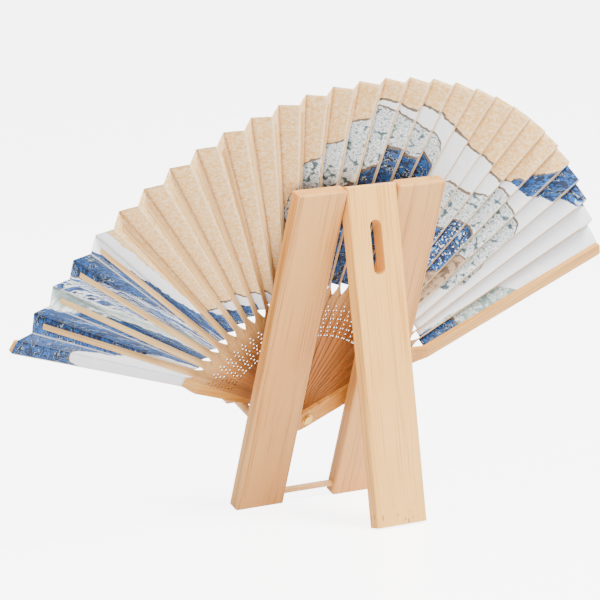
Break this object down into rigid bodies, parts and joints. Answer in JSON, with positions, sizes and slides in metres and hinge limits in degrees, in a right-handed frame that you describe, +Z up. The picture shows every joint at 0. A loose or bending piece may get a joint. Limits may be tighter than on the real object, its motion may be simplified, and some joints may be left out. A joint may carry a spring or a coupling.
{
  "type": "hand fan on stand",
  "caption": "Folding hand fan with pierced wooden sticks and a pleated cloth leaf, resting open on its own folding three-plank wooden stand.",
  "frame": {"origin": "on the table at the middle of the object's outline", "axes": "+X along the stand's hinge, to the side of the right guard; +Y to the side of the stand where the fan rests; +Z up"},
  "size_m": [0.3804, 0.1124, 0.2348],
  "materials": {
    "stand_wood": "satin planed bamboo",
    "dowel_wood": "satin turned wood",
    "peg_wood": "satin wood",
    "guard_wood": "satin bamboo",
    "stick_wood": "satin bamboo",
    "leaf_cloth": "printed cloth",
    "rivet_metal": "polished"
  },
  "bodies": {
    "stand": {"side_plank_left": "stand_wood", "side_plank_right": "stand_wood", "hinge_dowel": "dowel_wood", "bottom_dowel": "dowel_wood", "peg_left": "peg_wood", "peg_right": "peg_wood", "peg_block_left": "peg_wood", "peg_block_right": "peg_wood"},
    "leg": {"leg_plank": "stand_wood"},
    "fan": {"guard_right": "guard_wood", "rivet": "rivet_metal", "washer_front": "rivet_metal", "washer_back": "rivet_metal", "leaf": "leaf_cloth"},
    "left_guard": {"guard_left": "guard_wood"},
    "stick_01": {"stick_01": "stick_wood"},
    "stick_02": {"stick_02": "stick_wood"},
    "stick_03": {"stick_03": "stick_wood"},
    "stick_04": {"stick_04": "stick_wood"},
    "stick_05": {"stick_05": "stick_wood"},
    "stick_06": {"stick_06": "stick_wood"},
    "stick_07": {"stick_07": "stick_wood"},
    "stick_08": {"stick_08": "stick_wood"},
    "stick_09": {"stick_09": "stick_wood"},
    "stick_10": {"stick_10": "stick_wood"},
    "stick_11": {"stick_11": "stick_wood"},
    "stick_12": {"stick_12": "stick_wood"},
    "stick_13": {"stick_13": "stick_wood"},
    "stick_14": {"stick_14": "stick_wood"},
    "stick_15": {"stick_15": "stick_wood"},
    "stick_16": {"stick_16": "stick_wood"},
    "stick_17": {"stick_17": "stick_wood"},
    "stick_18": {"stick_18": "stick_wood"},
    "stick_19": {"stick_19": "stick_wood"},
    "stick_20": {"stick_20": "stick_wood"},
    "stick_21": {"stick_21": "stick_wood"},
    "stick_22": {"stick_22": "stick_wood"},
    "stick_23": {"stick_23": "stick_wood"},
    "stick_24": {"stick_24": "stick_wood"},
    "stick_25": {"stick_25": "stick_wood"},
    "stick_26": {"stick_26": "stick_wood"},
    "stick_27": {"stick_27": "stick_wood"},
    "stick_28": {"stick_28": "stick_wood"}
  },
  "joints": [
    {"name": "leg_fold", "type": "hinge", "parent": "stand", "child": "leg", "pos_m": [0.00632, -0.0343, 0.17375], "axis": [1, 0, 0], "range_deg": [0, 29.6]},
    {"name": "fan_lift", "type": "slide", "parent": "stand", "child": "fan", "axis": [0, -0.4019, 0.9157], "range_m": [0, 0.16]},
    {"name": "fan_fold", "type": "hinge", "parent": "fan", "child": "left_guard", "pos_m": [0.00152, 0.03048, 0.04733], "axis": [-0.1052, 0.8957, 0.4321], "range_deg": [0, 136.88], "deforming": ["leaf"]},
    {"name": "stick_01_turn", "type": "hinge", "parent": "fan", "child": "stick_01", "pos_m": [0.00152, 0.03048, 0.04733], "axis": [-0.1052, 0.8957, 0.4321], "range_deg": [0, 4.73]},
    {"name": "stick_02_turn", "type": "hinge", "parent": "fan", "child": "stick_02", "pos_m": [0.00152, 0.03048, 0.04733], "axis": [-0.1052, 0.8957, 0.4321], "range_deg": [0, 9.45]},
    {"name": "stick_03_turn", "type": "hinge", "parent": "fan", "child": "stick_03", "pos_m": [0.00152, 0.03048, 0.04733], "axis": [-0.1052, 0.8957, 0.4321], "range_deg": [0, 14.17]},
    {"name": "stick_04_turn", "type": "hinge", "parent": "fan", "child": "stick_04", "pos_m": [0.00152, 0.03048, 0.04733], "axis": [-0.1052, 0.8957, 0.4321], "range_deg": [0, 18.89]},
    {"name": "stick_05_turn", "type": "hinge", "parent": "fan", "child": "stick_05", "pos_m": [0.00152, 0.03048, 0.04733], "axis": [-0.1052, 0.8957, 0.4321], "range_deg": [0, 23.61]},
    {"name": "stick_06_turn", "type": "hinge", "parent": "fan", "child": "stick_06", "pos_m": [0.00152, 0.03048, 0.04733], "axis": [-0.1052, 0.8957, 0.4321], "range_deg": [0, 28.33]},
    {"name": "stick_07_turn", "type": "hinge", "parent": "fan", "child": "stick_07", "pos_m": [0.00152, 0.03048, 0.04733], "axis": [-0.1052, 0.8957, 0.4321], "range_deg": [0, 33.05]},
    {"name": "stick_08_turn", "type": "hinge", "parent": "fan", "child": "stick_08", "pos_m": [0.00152, 0.03048, 0.04733], "axis": [-0.1052, 0.8957, 0.4321], "range_deg": [0, 37.77]},
    {"name": "stick_09_turn", "type": "hinge", "parent": "fan", "child": "stick_09", "pos_m": [0.00152, 0.03048, 0.04733], "axis": [-0.1052, 0.8957, 0.4321], "range_deg": [0, 42.49]},
    {"name": "stick_10_turn", "type": "hinge", "parent": "fan", "child": "stick_10", "pos_m": [0.00152, 0.03048, 0.04733], "axis": [-0.1052, 0.8957, 0.4321], "range_deg": [0, 47.21]},
    {"name": "stick_11_turn", "type": "hinge", "parent": "fan", "child": "stick_11", "pos_m": [0.00152, 0.03048, 0.04733], "axis": [-0.1052, 0.8957, 0.4321], "range_deg": [0, 51.93]},
    {"name": "stick_12_turn", "type": "hinge", "parent": "fan", "child": "stick_12", "pos_m": [0.00152, 0.03048, 0.04733], "axis": [-0.1052, 0.8957, 0.4321], "range_deg": [0, 56.65]},
    {"name": "stick_13_turn", "type": "hinge", "parent": "fan", "child": "stick_13", "pos_m": [0.00152, 0.03048, 0.04733], "axis": [-0.1052, 0.8957, 0.4321], "range_deg": [0, 61.37]},
    {"name": "stick_14_turn", "type": "hinge", "parent": "fan", "child": "stick_14", "pos_m": [0.00152, 0.03048, 0.04733], "axis": [-0.1052, 0.8957, 0.4321], "range_deg": [0, 66.09]},
    {"name": "stick_15_turn", "type": "hinge", "parent": "fan", "child": "stick_15", "pos_m": [0.00152, 0.03048, 0.04733], "axis": [-0.1052, 0.8957, 0.4321], "range_deg": [0, 70.81]},
    {"name": "stick_16_turn", "type": "hinge", "parent": "fan", "child": "stick_16", "pos_m": [0.00152, 0.03048, 0.04733], "axis": [-0.1052, 0.8957, 0.4321], "range_deg": [0, 75.53]},
    {"name": "stick_17_turn", "type": "hinge", "parent": "fan", "child": "stick_17", "pos_m": [0.00152, 0.03048, 0.04733], "axis": [-0.1052, 0.8957, 0.4321], "range_deg": [0, 80.25]},
    {"name": "stick_18_turn", "type": "hinge", "parent": "fan", "child": "stick_18", "pos_m": [0.00152, 0.03048, 0.04733], "axis": [-0.1052, 0.8957, 0.4321], "range_deg": [0, 84.97]},
    {"name": "stick_19_turn", "type": "hinge", "parent": "fan", "child": "stick_19", "pos_m": [0.00152, 0.03048, 0.04733], "axis": [-0.1052, 0.8957, 0.4321], "range_deg": [0, 89.69]},
    {"name": "stick_20_turn", "type": "hinge", "parent": "fan", "child": "stick_20", "pos_m": [0.00152, 0.03048, 0.04733], "axis": [-0.1052, 0.8957, 0.4321], "range_deg": [0, 94.41]},
    {"name": "stick_21_turn", "type": "hinge", "parent": "fan", "child": "stick_21", "pos_m": [0.00152, 0.03048, 0.04733], "axis": [-0.1052, 0.8957, 0.4321], "range_deg": [0, 99.13]},
    {"name": "stick_22_turn", "type": "hinge", "parent": "fan", "child": "stick_22", "pos_m": [0.00152, 0.03048, 0.04733], "axis": [-0.1052, 0.8957, 0.4321], "range_deg": [0, 103.85]},
    {"name": "stick_23_turn", "type": "hinge", "parent": "fan", "child": "stick_23", "pos_m": [0.00152, 0.03048, 0.04733], "axis": [-0.1052, 0.8957, 0.4321], "range_deg": [0, 108.57]},
    {"name": "stick_24_turn", "type": "hinge", "parent": "fan", "child": "stick_24", "pos_m": [0.00152, 0.03048, 0.04733], "axis": [-0.1052, 0.8957, 0.4321], "range_deg": [0, 113.29]},
    {"name": "stick_25_turn", "type": "hinge", "parent": "fan", "child": "stick_25", "pos_m": [0.00152, 0.03048, 0.04733], "axis": [-0.1052, 0.8957, 0.4321], "range_deg": [0, 118.01]},
    {"name": "stick_26_turn", "type": "hinge", "parent": "fan", "child": "stick_26", "pos_m": [0.00152, 0.03048, 0.04733], "axis": [-0.1052, 0.8957, 0.4321], "range_deg": [0, 122.73]},
    {"name": "stick_27_turn", "type": "hinge", "parent": "fan", "child": "stick_27", "pos_m": [0.00152, 0.03048, 0.04733], "axis": [-0.1052, 0.8957, 0.4321], "range_deg": [0, 127.45]},
    {"name": "stick_28_turn", "type": "hinge", "parent": "fan", "child": "stick_28", "pos_m": [0.00152, 0.03048, 0.04733], "axis": [-0.1052, 0.8957, 0.4321], "range_deg": [0, 132.17]}
  ],
  "couplings": [
    {"joint": "stick_01_turn", "follows": "fan_fold", "ratio": 0.034483},
    {"joint": "stick_02_turn", "follows": "fan_fold", "ratio": 0.068966},
    {"joint": "stick_03_turn", "follows": "fan_fold", "ratio": 0.10345},
    {"joint": "stick_04_turn", "follows": "fan_fold", "ratio": 0.13793},
    {"joint": "stick_05_turn", "follows": "fan_fold", "ratio": 0.17241},
    {"joint": "stick_06_turn", "follows": "fan_fold", "ratio": 0.2069},
    {"joint": "stick_07_turn", "follows": "fan_fold", "ratio": 0.24138},
    {"joint": "stick_08_turn", "follows": "fan_fold", "ratio": 0.27586},
    {"joint": "stick_09_turn", "follows": "fan_fold", "ratio": 0.31034},
    {"joint": "stick_10_turn", "follows": "fan_fold", "ratio": 0.34483},
    {"joint": "stick_11_turn", "follows": "fan_fold", "ratio": 0.37931},
    {"joint": "stick_12_turn", "follows": "fan_fold", "ratio": 0.41379},
    {"joint": "stick_13_turn", "follows": "fan_fold", "ratio": 0.44828},
    {"joint": "stick_14_turn", "follows": "fan_fold", "ratio": 0.48276},
    {"joint": "stick_15_turn", "follows": "fan_fold", "ratio": 0.51724},
    {"joint": "stick_16_turn", "follows": "fan_fold", "ratio": 0.55172},
    {"joint": "stick_17_turn", "follows": "fan_fold", "ratio": 0.58621},
    {"joint": "stick_18_turn", "follows": "fan_fold", "ratio": 0.62069},
    {"joint": "stick_19_turn", "follows": "fan_fold", "ratio": 0.65517},
    {"joint": "stick_20_turn", "follows": "fan_fold", "ratio": 0.68966},
    {"joint": "stick_21_turn", "follows": "fan_fold", "ratio": 0.72414},
    {"joint": "stick_22_turn", "follows": "fan_fold", "ratio": 0.75862},
    {"joint": "stick_23_turn", "follows": "fan_fold", "ratio": 0.7931},
    {"joint": "stick_24_turn", "follows": "fan_fold", "ratio": 0.82759},
    {"joint": "stick_25_turn", "follows": "fan_fold", "ratio": 0.86207},
    {"joint": "stick_26_turn", "follows": "fan_fold", "ratio": 0.89655},
    {"joint": "stick_27_turn", "follows": "fan_fold", "ratio": 0.93103},
    {"joint": "stick_28_turn", "follows": "fan_fold", "ratio": 0.96552}
  ]
}
